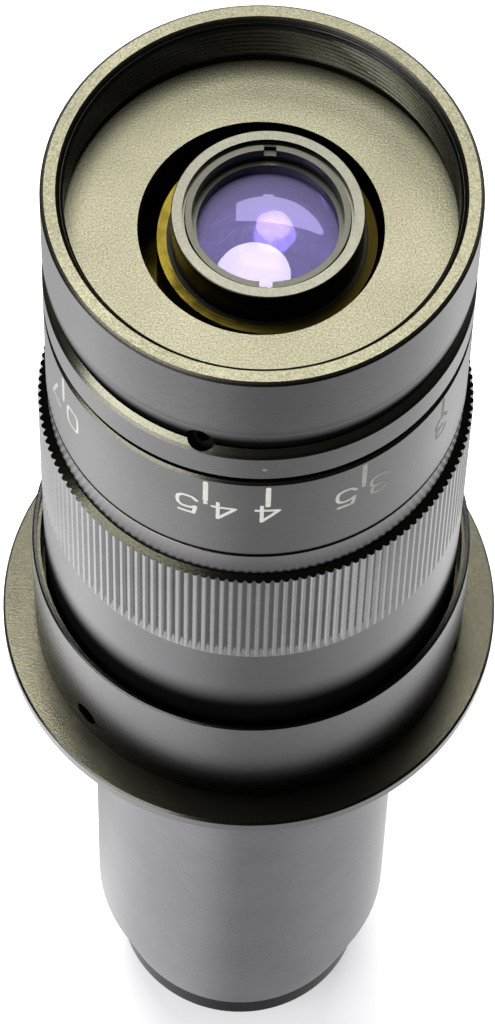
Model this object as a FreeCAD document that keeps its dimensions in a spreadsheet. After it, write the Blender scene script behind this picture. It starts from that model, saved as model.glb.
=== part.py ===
import FreeCAD, Part
import math
import os
import re

import Sketcher

# Zoom lens for a camera with a screwed C mount. Z runs up the optical axis, and the origin is the centre
# of the camera thread's end, on which the lens stands. Lengths are in millimetres, angles in degrees.
# An angle is counted from +X towards +Y, so the front of the lens, at -Y, is -90.
sizes = {
    # Gaps that several joints share
    "thread_gap": 0.05,
    "seat_gap": 0.05,
    "running_gap": 0.05,
    "end_gap": 0.05,
    "follower_gap": 0.06,
    # Camera ring and its thread
    "thread_r": 12.7,
    "thread_len": 4.0,
    "thread_lead_in": 0.4,
    "thread_relief_depth": 0.8,
    "thread_relief_len": 0.8,
    "camera_wall": 1.8,
    "ring_r": 15.5,
    "ring_len": 4.5,
    "ring_bevel": 0.3,
    "ring_neck_step": 1.3,
    "ring_neck_len": 5.5,
    "ring_neck_end_gap": 0.3,
    # Rear tube
    "tube_foot_lap": 0.4,
    "taper_len": 10.0,
    "tube_wall": 1.1,
    "tube_len": 82.4,
    "foot_step": 1.0,
    "foot_bore_len": 3.0,
    "foot_cone_len": 3.0,
    "waist_step": 1.0,
    "relay_step": 0.7,
    "relay_drop": 22.0,
    # Light baffle
    "baffle_drop": 26.0,
    "baffle_len": 4.0,
    "baffle_wall": 1.4,
    "baffle_aperture_r": 8.5,
    "baffle_edge": 0.4,
    # Mounting collar
    "flange_width": 3.77,
    "flange_len": 1.95,
    "flange_bevel": 0.25,
    "collar_wall": 0.9,
    "collar_len": 17.4,
    "collar_bevel": 0.2,
    "collar_lip": 0.5,
    "collar_lip_len": 0.9,
    "skirt_gap": 0.5,
    "hub_len": 9.1,
    "collar_screw_r": 1.5,
    "collar_screw_len": 4.2,
    "collar_socket_depth": 1.5,
    "collar_screw_rise": 5.5,
    "collar_screw_count": 3,
    "collar_screw_angle": -137.0,
    # Guide tube
    "guide_bore_r": 16.0,
    "guide_wall": 1.6,
    "spigot_step": 0.45,
    "spigot_len": 12.0,
    "spigot_end_gap": 0.3,
    "guide_top_rise": 4.5,
    # Cam sleeve and its washers
    "sleeve_wall": 1.75,
    "washer_len": 0.5,
    "washer_lap": 0.8,
    # Zoom ring
    "skirt_wall": 4.15,
    "skirt_len": 25.55,
    "skirt_bevel": 0.3,
    "knurl_rise": 0.05,
    "knurl_len": 17.65,
    "knurl_teeth": 150,
    "knurl_depth": 0.36,
    "knurl_crest": 0.34,
    "knurl_runout": 1.5,
    "shoulder_step": 0.1,
    "shoulder_len": 4.35,
    "shoulder_bevel": 0.22,
    "zoom_neck_wall": 1.85,
    "neck_drop": 0.6,
    "zoom_turn_up": 16.7,
    "zoom_turn_down": 287.7,
    "cam_slot_spare_turn": 0.5,
    "drive_screw_r": 1.0,
    "drive_screw_count": 3,
    "drive_screw_angle": 30.0,
    "drive_screw_drop": 4.0,
    # Stop pin and the groove it runs in
    "stop_pin_r": 1.0,
    "stop_pin_inset": 2.6,
    "stop_pin_depth": 4.0,
    "stop_pin_rise": 2.2,
    "stop_pin_angle": 90.0,
    "stop_groove_depth": 2.2,
    "stop_side_gap": 0.15,
    "stop_spare_turn": 0.4,
    # Scale ring
    "scale_wall": 1.35,
    "scale_len": 16.2,
    "scale_foot_bevel": 0.2,
    "scale_top_bevel": 0.3,
    # Index barrel
    "index_gap": 1.2,
    "index_len": 4.1,
    "index_web_len": 2.0,
    "index_bevel": 0.15,
    "barrel_wall": 2.15,
    # Front cap, and the V groove between it and the index barrel
    "groove_depth": 0.85,
    "groove_floor": 0.65,
    "groove_width": 2.6,
    "cap_step": 0.05,
    "cap_len": 13.1,
    "cap_foot_rise": 4.1,
    "cap_foot_len": 2.6,
    "cap_foot_swell": 0.05,
    "rim_bevel": 0.4,
    "cap_wall": 2.05,
    "rim_flare": 0.44,
    "recess_depth": 7.3,
    "thread_runout_depth": 0.4,
    "thread_runout_len": 3.5,
    "plate_len": 2.0,
    "window_gap": 1.34,
    "cap_neck_wall": 2.3,
    "cap_screw_r": 1.53,
    "cap_screw_len": 1.6,
    "cap_socket_depth": 0.9,
    "cap_screw_drop": 0.25,
    "cap_screw_depth": 4.3,
    "cap_screw_angle": -104.5,
    "cap_screw_lean": 45.0,
    # Front moving group
    "group_offset": 0.67,
    "land_gap": 0.05,
    "land_len": 2.0,
    "land_relief": 0.45,
    "cutter_reach": 0.45,
    "front_carrier_len": 14.0,
    "front_carrier_drop": 15.3,
    "front_neck_wall": 1.0,
    "front_neck_len": 13.0,
    "front_bore_step": 0.95,
    "front_cell_wall": 1.37,
    "front_cell_step": 0.38,
    "front_cell_body_len": 8.5,
    "front_cell_rise": 4.85,
    "cell_mouth_step": 0.29,
    "cell_mouth_len": 1.0,
    "cell_bevel": 0.1,
    "front_seat_rise": 3.5,
    "front_seat_width": 0.95,
    "front_lens_r": 8.55,
    "front_lens_gap": 0.05,
    "flint_edge_len": 3.1,
    "crown_edge_len": 2.06,
    "cement_face_r": 25.0,
    "crown_face_r": 30.0,
    "front_ring_wall": 0.65,
    "front_lip": 0.5,
    "front_lip_len": 1.7,
    "front_ring_sink": 0.5,
    "spanner_notch": 1.3,
    "spanner_notch_depth": 1.1,
    "front_follower_rise": 4.0,
    "front_travel_per_turn": 12.5136,
    # Rear moving group
    "rear_carrier_len": 12.0,
    "rear_carrier_rise": 16.0,
    "rear_bore_step": 0.9,
    "rear_step_len": 1.5,
    "rear_cell_wall": 1.95,
    "rear_cell_len": 9.5,
    "rear_seat_rise": 1.5,
    "rear_seat_width": 0.9,
    "rear_lens_r": 7.5,
    "rear_lens_len": 5.0,
    "rear_dish_edge": 1.1,
    "rear_face_r": 20.0,
    "rear_ring_len": 2.2,
    "rear_ring_wall": 1.0,
    "rear_follower_rise": 6.0,
    "rear_travel_per_turn": 10.0104,
    # Follower pins
    "follower_r": 1.5,
    "follower_shoulder": 0.55,
    "follower_stud_len": 2.6,
    "follower_end_drop": 0.25,
    "driver_slot": 0.5,
    "driver_slot_depth": 0.7,
    "driver_slot_reach": 3.0,
    # Fixed rear group
    "relay_cell_len": 14.0,
    "relay_seat_rise": 3.0,
    "relay_cell_wall": 3.9,
    "relay_seat_width": 1.2,
    "relay_edge_len": 3.2,
    "relay_face_r": 40.0,
    "relay_ring_wall": 1.3,
    "relay_ring_len": 2.5,
}

# Radii that follow from a neighbour's radius and the wall, step or gap between the two
sums = {
    "thread_relief_r": "thread_r - thread_relief_depth",
    "camera_bore_r": "thread_r - camera_wall",
    "ring_neck_r": "ring_r - ring_neck_step",
    "tube_foot_r": "ring_r + tube_foot_lap",
    "foot_bore_r": "ring_neck_r - foot_step",
    "guide_r": "guide_bore_r + guide_wall",
    "spigot_r": "guide_r - spigot_step",
    "tube_r": "spigot_r + thread_gap + tube_wall",
    "relay_bore_r": "spigot_r + thread_gap - relay_step",
    "waist_bore_r": "relay_bore_r - waist_step",
    "relay_lens_r": "relay_bore_r - thread_gap - relay_cell_wall - seat_gap",
    "relay_clear_r": "relay_lens_r - relay_seat_width",
    "relay_ring_bore_r": "relay_lens_r - relay_ring_wall",
    "sleeve_bore": "guide_r + running_gap",
    "sleeve_r": "sleeve_bore + sleeve_wall",
    "washer_r": "sleeve_r + washer_lap",
    "zoom_bore": "sleeve_r + seat_gap",
    "zoom_neck_r": "zoom_bore + zoom_neck_wall",
    "scale_r": "zoom_neck_r + seat_gap + scale_wall",
    "shoulder_r": "scale_r - shoulder_step",
    "skirt_r": "zoom_bore + skirt_wall",
    "knurl_r": "skirt_r + knurl_rise",
    "collar_bore_r": "skirt_r + skirt_gap",
    "collar_r": "collar_bore_r + collar_wall",
    "collar_lip_r": "collar_r - collar_lip",
    "flange_r": "collar_r + flange_width",
    "stop_pin_circle_r": "collar_bore_r - stop_pin_inset",
    "cap_neck_r": "scale_r - barrel_wall - thread_gap",
    "groove_r": "scale_r - groove_depth",
    "cap_r": "scale_r - cap_step",
    "cap_cavity_r": "cap_neck_r - cap_neck_wall",
    "accessory_thread_r": "cap_r - cap_wall",
    "rim_bore_r": "accessory_thread_r + rim_flare",
    "thread_runout_r": "accessory_thread_r + thread_runout_depth",
    "front_cell_r": "front_lens_r + front_lens_gap + front_cell_wall",
    "front_cell_body_r": "front_cell_r + front_cell_step",
    "front_bore_r": "front_cell_body_r - front_bore_step",
    "front_neck_r": "front_cell_body_r + thread_gap + front_neck_wall",
    "window_r": "front_neck_r + window_gap",
    "cell_mouth_r": "front_lens_r + cell_mouth_step",
    "front_clear_r": "front_lens_r - front_seat_width",
    "front_ring_r": "front_lens_r - front_lens_gap",
    "front_ring_bore_r": "front_ring_r - front_ring_wall",
    "front_lip_r": "front_ring_bore_r - front_lip",
    "rear_cell_r": "rear_lens_r + seat_gap + rear_cell_wall",
    "rear_bore_r": "rear_cell_r - rear_bore_step",
    "rear_clear_r": "rear_lens_r - rear_seat_width",
    "rear_dish_r": "rear_lens_r - rear_dish_edge",
    "rear_ring_bore_r": "rear_lens_r - rear_ring_wall",
    "follower_stud_r": "follower_r - follower_shoulder",
}

document = FreeCAD.newDocument("zoom_lens")
sheet = document.addObject("Spreadsheet::Sheet", "Sizes")
for row, (name, value) in enumerate(sizes.items(), start=1):
    sheet.set(f"A{row}", name)
    sheet.set(f"B{row}", str(value))
    sheet.setAlias(f"B{row}", name)
document.recompute()

# Heights that several pieces share, each a sum of named sizes from the camera end upwards.
# sag(face,edge) is how far a ball of radius face falls away at the distance edge from its axis.
ring_top = "thread_len + ring_len"
taper_top = f"{ring_top} + taper_len"
flange_low = f"{ring_top} + tube_len"
flange_top = f"{flange_low} + flange_len"
collar_top = f"{flange_top} + collar_len"
hub_top = f"{flange_low} + hub_len"
spigot_low = f"{hub_top} - spigot_len"
relay_low = f"{spigot_low} - relay_drop"
relay_seat = f"{relay_low} + relay_seat_rise"
baffle_low = f"{relay_low} - baffle_drop"
zoom_low = f"{hub_top} + washer_len + end_gap"
knurl_low = f"{zoom_low} + skirt_len"
knurl_top = f"{knurl_low} + knurl_len"
shoulder_top = f"{knurl_top} + shoulder_len"
scale_top = f"{shoulder_top} + scale_len"
index_low = f"{scale_top} + index_gap"
web_top = f"{index_low} + index_web_len"
ledge = f"{index_low} + index_len"
cap_seat = f"{ledge} + groove_depth + end_gap"
cap_low = f"{ledge} + groove_width"
rim_top = f"{cap_low} + cap_len"
plate_top = f"{rim_top} - recess_depth"
plate_low = f"{plate_top} - plate_len"
guide_top = f"{index_low} + guide_top_rise"
sleeve_top = f"{index_low} - washer_len - end_gap"
front_low = f"{shoulder_top} + scale_len - front_carrier_drop"
front_body_top = f"{front_low} + front_carrier_len"
front_neck_top = f"{front_body_top} + front_neck_len"
front_cell_low = f"{front_neck_top} - front_cell_body_len"
front_cell_top = f"{front_neck_top} + front_cell_rise"
front_seat = f"{front_cell_low} + front_seat_rise"
cement_edge = f"{front_seat} + flint_edge_len"
crown_edge = f"{cement_edge} + crown_edge_len"
front_follower_height = f"{front_low} + front_follower_rise"
rear_low = f"{hub_top} + rear_carrier_rise"
rear_top = f"{rear_low} + rear_carrier_len"
rear_cell_low = f"{rear_low} + rear_step_len"
rear_seat = f"{rear_cell_low} + rear_seat_rise"
rear_lens_top = f"{rear_seat} + rear_lens_len"
rear_follower_height = f"{rear_low} + rear_follower_rise"


def bound(text):
    """The same sum as an expression on the sheet."""
    def worded(match):
        name = match.group()
        return f"({bound(sums[name])})" if name in sums else "Sizes." + name

    text = re.sub(r"sag\((\w+),(\w+)\)", r"(\1 - (\1 ^ 2 - \2 ^ 2) ^ 0.5)", text)
    return re.sub(r"[a-z][a-z_]*", worded, text)


def amount(text):
    """The sum's value, read from the sheet."""
    total = 0.0
    sign = 1.0
    for word in text.split():
        if word in "+-":
            sign = 1.0 if word == "+" else -1.0
            continue
        ball = re.match(r"sag\((\w+),(\w+)\)", word)
        if ball:
            face = amount(ball.group(1))
            term = face - math.sqrt(face ** 2 - amount(ball.group(2)) ** 2)
        elif word in sums:
            term = amount(sums[word])
        else:
            term = float(word) if word[0].isdigit() else sheet.get(word)
        total += sign * term
    return total


def origin_plane(body, role):
    """The body's own base plane of that role."""
    return next(item for item in body.Origin.OriginFeatures if item.Role == role)


def turned(label, profile):
    """A body turned about Z from a closed outline of (radius, height) corners."""
    body = document.addObject("PartDesign::Body", label)
    sketch = body.newObject("Sketcher::SketchObject", label + "_outline")
    sketch.AttachmentSupport = (origin_plane(body, "XZ_Plane"), [""])
    sketch.MapMode = "FlatFace"
    corners = [FreeCAD.Vector(amount(radius), amount(height), 0) for radius, height in profile]
    for corner, following in zip(corners, corners[1:] + corners[:1]):
        sketch.addGeometry(Part.LineSegment(corner, following), False)
    for line in range(len(corners)):
        sketch.addConstraint(Sketcher.Constraint("Coincident", line, 2, (line + 1) % len(corners), 1))
    for line, (corner, sums) in enumerate(zip(corners, profile)):
        for way, distance, words in zip(("DistanceX", "DistanceY"), corner, sums):
            number = sketch.addConstraint(Sketcher.Constraint(way, -1, 1, line, 1, distance))
            sketch.setExpression(f"Constraints[{number}]", bound(words))
    turn = body.newObject("PartDesign::Revolution", label + "_turned")
    turn.Profile = sketch
    turn.ReferenceAxis = (sketch, ["V_Axis"])
    turn.Angle = 360
    return body


def upright_cylinder(label, radius, low, high, middle_x="0"):
    """A cylinder along Z between two heights."""
    cylinder = document.addObject("Part::Cylinder", label)
    cylinder.setExpression("Radius", bound(radius))
    cylinder.setExpression("Height", bound(f"{high} - ({low})"))
    cylinder.setExpression("Placement.Base.x", bound(middle_x))
    cylinder.setExpression("Placement.Base.z", bound(low))
    return cylinder


def outward(distance, height, angle, lean=0.0):
    """A place beside the axis, turned so that Z points away from the axis and rises by the lean."""
    turn = FreeCAD.Rotation(FreeCAD.Vector(0, 0, 1), angle)
    start = turn.multVec(FreeCAD.Vector(distance, 0, height))
    return FreeCAD.Placement(start, turn * FreeCAD.Rotation(FreeCAD.Vector(0, 1, 0), 90.0 - lean))


def radial_cylinder(label, radius, near, far, height, angle):
    """A cylinder that points away from the axis at an angle, between two distances from it."""
    cylinder = document.addObject("Part::Cylinder", label)
    cylinder.setExpression("Radius", bound(radius))
    cylinder.setExpression("Height", bound(f"{far} - ({near})"))
    cylinder.Placement = outward(amount(near), amount(height), angle)
    return cylinder


def ball(label, radius, middle_height, middle_x="0"):
    """A sphere on the axis, or beside it."""
    sphere = document.addObject("Part::Sphere", label)
    sphere.setExpression("Radius", bound(radius))
    sphere.setExpression("Placement.Base.x", bound(middle_x))
    sphere.setExpression("Placement.Base.z", bound(middle_height))
    return sphere


def cut(label, base, tools):
    """The base with every tool taken away."""
    result = document.addObject("Part::Cut", label)
    result.Base = base
    if len(tools) == 1:
        result.Tool = tools[0]
    else:
        result.Tool = document.addObject("Part::Compound", label + "_tools")
        result.Tool.Links = tools
    return result


def joined(label, pieces):
    """The pieces grown together into one."""
    result = document.addObject("Part::MultiFuse", label)
    result.Shapes = pieces
    return result


def common(label, pieces):
    """What the pieces share."""
    result = document.addObject("Part::MultiCommon", label)
    result.Shapes = pieces
    return result


def grouped(label, pieces):
    """Identical loose pieces kept together."""
    result = document.addObject("Part::Compound", label)
    result.Links = pieces
    return result


def spanner_notches(label, ring_r, top, middle_x="0"):
    """A bar that cuts two notches across a retaining ring's top."""
    bar = document.addObject("Part::Box", label)
    bar.setExpression("Length", "Sizes.spanner_notch")
    bar.setExpression("Width", bound(f"{ring_r} + {ring_r} + end_gap + end_gap"))
    bar.setExpression("Height", bound("spanner_notch_depth + spanner_notch_depth"))
    bar.setExpression("Placement.Base.x", bound(middle_x) + " - Sizes.spanner_notch / 2")
    bar.setExpression("Placement.Base.y", f"-({bound(ring_r)} + Sizes.end_gap)")
    bar.setExpression("Placement.Base.z", bound(f"{top} - spanner_notch_depth"))
    return bar


def grub_screw(label, radius, length, socket_depth, foot):
    """A screw that stands on the placement, with a six-sided socket in its outer end."""
    blank = document.addObject("Part::Cylinder", label + "_blank")
    blank.setExpression("Radius", bound(radius))
    blank.setExpression("Height", bound(length))
    blank.Placement = foot
    socket = document.addObject("Part::Prism", label + "_socket")
    socket.Polygon = 6
    socket.setExpression("Circumradius", bound(radius) + " / 2")
    socket.setExpression("Height", bound(f"{socket_depth} + end_gap"))
    up = FreeCAD.Vector(0, 0, amount(f"{length} - {socket_depth}"))
    socket.Placement = foot * FreeCAD.Placement(up, FreeCAD.Rotation())
    return cut(label, blank, [socket])


def camera_ring():
    """Ring with the camera's thread below and a neck that screws into the tube above."""
    return turned("c_mount_ring", [
        ("camera_bore_r", "0"),
        ("thread_r - thread_lead_in", "0"),
        ("thread_r", "thread_lead_in"),
        ("thread_r", "thread_len - thread_relief_len"),
        ("thread_relief_r", "thread_len - thread_relief_len"),
        ("thread_relief_r", "thread_len"),
        ("ring_r - ring_bevel", "thread_len"),
        ("ring_r", "thread_len + ring_bevel"),
        ("ring_r", ring_top),
        ("ring_neck_r", ring_top),
        ("ring_neck_r", f"{ring_top} + ring_neck_len"),
        ("camera_bore_r", f"{ring_top} + ring_neck_len"),
    ])


def rear_tube():
    """Long tube with a tapered foot, a waist for the baffle and a seat for the fixed rear group."""
    pocket_top = f"{ring_top} + ring_neck_len + ring_neck_end_gap"
    return turned("rear_tube", [
        ("tube_foot_r", ring_top),
        ("tube_r", taper_top),
        ("tube_r", hub_top),
        ("spigot_r + thread_gap", hub_top),
        ("spigot_r + thread_gap", spigot_low),
        ("relay_bore_r", spigot_low),
        ("relay_bore_r", relay_low),
        ("waist_bore_r", relay_low),
        ("waist_bore_r", f"{pocket_top} + foot_bore_len + foot_cone_len"),
        ("foot_bore_r", f"{pocket_top} + foot_bore_len"),
        ("foot_bore_r", pocket_top),
        ("ring_neck_r + thread_gap", pocket_top),
        ("ring_neck_r + thread_gap", ring_top),
    ])


def light_baffle():
    """Ring with a knife-edged hole that keeps stray light off the camera."""
    outer = "waist_bore_r - thread_gap"
    inner = "waist_bore_r - thread_gap - baffle_wall"
    high = f"{baffle_low} + baffle_len"
    return turned("light_baffle", [
        (outer, baffle_low),
        (outer, high),
        (inner, high),
        (inner, f"{baffle_low} + baffle_wall"),
        ("baffle_aperture_r", f"{baffle_low} + baffle_edge"),
        ("baffle_aperture_r", baffle_low),
    ])


def collar_screw_angles():
    """Angles of the screws that hold the collar on the tube."""
    count = int(sheet.get("collar_screw_count"))
    return [sheet.get("collar_screw_angle") + 360.0 * turn / count for turn in range(count)]


def mounting_collar():
    """Collar that a stand's ring grips, with its thin seat flange and a stepped mouth."""
    height = f"{flange_low} + collar_screw_rise"
    collar = turned("mounting_collar_turned", [
        ("tube_r + seat_gap", flange_low),
        ("flange_r - flange_bevel", flange_low),
        ("flange_r", f"{flange_low} + flange_bevel"),
        ("flange_r", f"{flange_top} - flange_bevel"),
        ("flange_r - flange_bevel", flange_top),
        ("collar_r", flange_top),
        ("collar_r", f"{collar_top} - collar_bevel"),
        ("collar_r - collar_bevel", collar_top),
        ("collar_lip_r", collar_top),
        ("collar_lip_r", f"{collar_top} - collar_lip_len"),
        ("collar_bore_r", f"{collar_top} - collar_lip_len"),
        ("collar_bore_r", hub_top),
        ("tube_r + seat_gap", hub_top),
    ])
    tools = []
    for number, angle in enumerate(collar_screw_angles(), start=1):
        name = f"collar_screw_hole_{number}"
        near = "tube_r - collar_screw_r"
        tools.append(radial_cylinder(name, "collar_screw_r", near, "collar_r + seat_gap", height, angle))
    tools.append(upright_cylinder("stop_pin_hole", "stop_pin_r", f"{hub_top} - stop_pin_depth", hub_top))
    place_on_circle(tools[-1], "stop_pin_circle_r", "stop_pin_angle")
    return cut("mounting_collar", collar, tools)


def place_on_circle(piece, circle_r, angle):
    """Moves an upright piece out to a circle about the axis."""
    turn = math.radians(sheet.get(angle))
    piece.setExpression("Placement.Base.x", None)
    high = piece.Placement.Base.z
    piece.Placement.Base = FreeCAD.Vector(
        amount(circle_r) * math.cos(turn), amount(circle_r) * math.sin(turn), high)


def collar_grub_screws():
    """The screws that hold the collar on the tube."""
    screws = []
    for number, angle in enumerate(collar_screw_angles(), start=1):
        foot = outward(amount("tube_r + seat_gap"), amount(f"{flange_low} + collar_screw_rise"), angle)
        name = f"collar_grub_screw_{number}"
        screws.append(grub_screw(name, "collar_screw_r", "collar_screw_len", "collar_socket_depth", foot))
    return grouped("collar_grub_screws", screws)


def stop_pin():
    """Pin in the collar that runs in the zoom ring's groove and ends its turn."""
    pin = upright_cylinder("stop_pin", "stop_pin_r", f"{hub_top} - stop_pin_depth", f"{hub_top} + stop_pin_rise")
    place_on_circle(pin, "stop_pin_circle_r", "stop_pin_angle")
    return pin


def guide_slot(label, height, up, down, angle):
    """Straight slot through the guide tube's wall for one follower, round at both ends."""
    near = "guide_bore_r - cutter_reach"
    far = "guide_r + cutter_reach"
    radius = "follower_r + follower_gap"
    low_end = radial_cylinder(label + "_low", radius, near, far, f"{height} - {down:.6f}", angle)
    high_end = radial_cylinder(label + "_high", radius, near, far, f"{height} + {up:.6f}", angle)
    middle = document.addObject("Part::Box", label + "_middle")
    middle.setExpression("Length", bound(f"{far} - ({near})"))
    middle.setExpression("Width", "2 * (" + bound(radius) + ")")
    middle.Height = up + down
    turn = FreeCAD.Rotation(FreeCAD.Vector(0, 0, 1), angle)
    corner = FreeCAD.Vector(amount(near), -amount(radius), amount(height) - down)
    middle.Placement = FreeCAD.Placement(turn.multVec(corner), turn)
    return joined(label, [low_end, high_end, middle])


def travel(per_turn, turn):
    """How far a carrier slides while the zoom ring turns by an angle."""
    return sheet.get(per_turn) * turn / 360.0


def guide_tube():
    """Fixed tube that the carriers slide in."""
    spare = sheet.get("follower_gap") + sheet.get("end_gap")
    turn_up = sheet.get("zoom_turn_up")
    turn_down = sheet.get("zoom_turn_down")
    tube = turned("guide_tube_turned", [
        ("guide_r", hub_top),
        ("guide_r", guide_top),
        ("guide_bore_r", guide_top),
        ("guide_bore_r", f"{spigot_low} + spigot_end_gap"),
        ("spigot_r", f"{spigot_low} + spigot_end_gap"),
        ("spigot_r", hub_top),
    ])
    front = guide_slot(
        "front_guide_slot", front_follower_height,
        travel("front_travel_per_turn", turn_up) + spare,
        travel("front_travel_per_turn", turn_down) + spare, 0.0)
    rear = guide_slot(
        "rear_guide_slot", rear_follower_height,
        travel("rear_travel_per_turn", turn_down) + spare,
        travel("rear_travel_per_turn", turn_up) + spare, 180.0)
    return cut("guide_tube", tube, [front, rear])


def cam_slot(height, rise_per_turn, angle):
    """Helical slot that one follower runs in. The sleeve turns, so the slot runs back along its path:
    at the angle that turn brings to the follower, the slot's middle is where the follower then stands."""
    near = amount("sleeve_bore - cutter_reach")
    far = amount("sleeve_r + cutter_reach")
    width = 2.0 * amount("follower_r + follower_gap")
    first = -amount("zoom_turn_up + cam_slot_spare_turn")
    last = amount("zoom_turn_down + cam_slot_spare_turn")
    pitch = abs(rise_per_turn)
    mean_r = (near + far) / 2.0
    slant = math.atan2(pitch, 2.0 * math.pi * mean_r)
    half = width / 2.0 / math.cos(slant)
    start = last if rise_per_turn > 0 else first
    path = Part.makeHelix(pitch, pitch * (last - first) / 360.0, mean_r, 0, rise_per_turn > 0)
    outline = Part.makePolygon([
        FreeCAD.Vector(near, 0, -half),
        FreeCAD.Vector(far, 0, -half),
        FreeCAD.Vector(far, 0, half),
        FreeCAD.Vector(near, 0, half),
        FreeCAD.Vector(near, 0, -half),
    ])
    swept = Part.Wire(path.Edges).makePipeShell([outline], True, True)
    swept.Placement = FreeCAD.Placement(
        FreeCAD.Vector(0, 0, amount(height) - rise_per_turn * start / 360.0),
        FreeCAD.Rotation(FreeCAD.Vector(0, 0, 1), angle + start))
    ends = []
    for turn in (first, last):
        at = FreeCAD.Rotation(FreeCAD.Vector(0, 0, 1), angle + turn)
        middle = amount(height) - rise_per_turn * turn / 360.0
        foot = at.multVec(FreeCAD.Vector(near, 0, middle))
        ends.append(Part.makeCylinder(width / 2.0, far - near, foot, at.multVec(FreeCAD.Vector(1, 0, 0))))
    return [swept] + ends


def drive_screw_angles():
    """Angles of the screws that fix the zoom ring to the cam sleeve."""
    count = int(sheet.get("drive_screw_count"))
    return [sheet.get("drive_screw_angle") + 360.0 * turn / count for turn in range(count)]


def drive_holes(label, near, far, radius):
    """Radial holes for the drive screws."""
    height = f"{scale_top} - drive_screw_drop"
    return [
        radial_cylinder(f"{label}_{number}", radius, near, far, height, angle)
        for number, angle in enumerate(drive_screw_angles(), start=1)
    ]


def cam_sleeve():
    """Turning sleeve whose two helical slots push the carriers along."""
    blank = turned("cam_sleeve_turned", [
        ("sleeve_bore", zoom_low),
        ("sleeve_r", zoom_low),
        ("sleeve_r", sleeve_top),
        ("sleeve_bore", sleeve_top),
    ])
    slots = document.addObject("Part::Feature", "cam_slots")
    front = cam_slot(front_follower_height, sheet.get("front_travel_per_turn"), 0.0)
    rear = cam_slot(rear_follower_height, -sheet.get("rear_travel_per_turn"), 180.0)
    slots.Shape = Part.makeCompound([front[0].fuse(front[1:]), rear[0].fuse(rear[1:])])
    holes = drive_holes("sleeve_drive_hole", "guide_r", "zoom_bore", "drive_screw_r + seat_gap")
    return cut("cam_sleeve", blank, [slots] + holes)


def washers():
    """Thin bronze washers at the ends of the cam sleeve."""
    front = turned("front_thrust_washer", [
        ("sleeve_bore", f"{index_low} - washer_len"),
        ("washer_r", f"{index_low} - washer_len"),
        ("washer_r", index_low),
        ("sleeve_bore", index_low),
    ])
    rear = turned("rear_thrust_washer", [
        ("sleeve_bore", hub_top),
        ("washer_r", hub_top),
        ("washer_r", f"{hub_top} + washer_len"),
        ("sleeve_bore", f"{hub_top} + washer_len"),
    ])
    return [front, rear]


def knurl_grooves():
    """Straight V grooves side by side round the zoom ring, open above and sloping out below. Each cutter
    is as wide and as long as its V comes to at twice the depth, half of it outside the ring."""
    teeth = int(sheet.get("knurl_teeth"))
    outer = amount("knurl_r")
    depth = sheet.get("knurl_depth")
    runout = sheet.get("knurl_runout")
    half_cutter = 2.0 * (1.0 - sheet.get("knurl_crest")) * math.pi / teeth
    low = amount(knurl_low)
    tall = FreeCAD.Vector(0, 0, amount("knurl_len + knurl_runout"))
    grooves = []
    for tooth in range(teeth):
        middle = 2.0 * math.pi * tooth / teeth
        corners = [
            (outer - depth, 0.0, low + runout),
            (outer + depth, -half_cutter, low - runout),
            (outer + depth, half_cutter, low - runout),
        ]
        points = [
            FreeCAD.Vector(radius * math.cos(middle + side), radius * math.sin(middle + side), height)
            for radius, side, height in corners + corners[:1]
        ]
        grooves.append(Part.Face(Part.makePolygon(points)).extrude(tall))
    knurl = document.addObject("Part::Feature", "knurl_grooves")
    knurl.Shape = Part.makeCompound(grooves)
    return knurl


def stop_groove():
    """Groove under the zoom ring that ends its turn against the stop pin."""
    side = "stop_pin_r + stop_side_gap"
    pin_half = math.degrees(math.asin(sheet.get("stop_pin_r") / amount("stop_pin_circle_r")))
    end_turn = pin_half + sheet.get("stop_spare_turn")
    start = amount("stop_pin_angle - zoom_turn_up") - end_turn
    sweep = amount("zoom_turn_up + zoom_turn_down") + 2.0 * end_turn
    disc = upright_cylinder(
        "stop_groove_disc", f"stop_pin_circle_r + {side}",
        f"{zoom_low} - end_gap", f"{zoom_low} + stop_groove_depth")
    disc.Angle = sweep
    disc.Placement.Rotation = FreeCAD.Rotation(FreeCAD.Vector(0, 0, 1), start)
    core = upright_cylinder(
        "stop_groove_core", "stop_pin_circle_r - stop_pin_r - stop_side_gap",
        f"{zoom_low} - end_gap - end_gap", f"{zoom_low} + stop_groove_depth + end_gap")
    return cut("stop_groove", disc, [core])


def zoom_ring():
    """The ring that a hand turns: long skirt, knurled band, shoulder and the scale ring's seat."""
    neck_top = f"{scale_top} - neck_drop"
    blank = turned("zoom_ring_turned", [
        ("zoom_bore", zoom_low),
        ("skirt_r - skirt_bevel", zoom_low),
        ("skirt_r", f"{zoom_low} + skirt_bevel"),
        ("skirt_r", knurl_low),
        ("knurl_r", knurl_low),
        ("knurl_r", knurl_top),
        ("shoulder_r", knurl_top),
        ("shoulder_r", f"{shoulder_top} - shoulder_bevel"),
        ("shoulder_r - shoulder_bevel", shoulder_top),
        ("zoom_neck_r", shoulder_top),
        ("zoom_neck_r", neck_top),
        ("zoom_bore", neck_top),
    ])
    holes = drive_holes("ring_drive_hole", "sleeve_r", "zoom_neck_r + seat_gap", "drive_screw_r + seat_gap")
    return cut("zoom_ring", blank, [knurl_grooves(), stop_groove()] + holes)


def zoom_drive_screws():
    """Slotted screws through the zoom ring's neck into the cam sleeve, under the scale ring."""
    height = f"{scale_top} - drive_screw_drop"
    screws = []
    for number, angle in enumerate(drive_screw_angles(), start=1):
        name = f"zoom_drive_screw_{number}"
        near = "sleeve_bore + seat_gap"
        blank = radial_cylinder(name + "_blank", "drive_screw_r", near, "zoom_neck_r - seat_gap", height, angle)
        screws.append(cut(name, blank, [driver_slot(name, "zoom_neck_r - seat_gap", height, angle)]))
    return grouped("zoom_drive_screws", screws)


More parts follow.
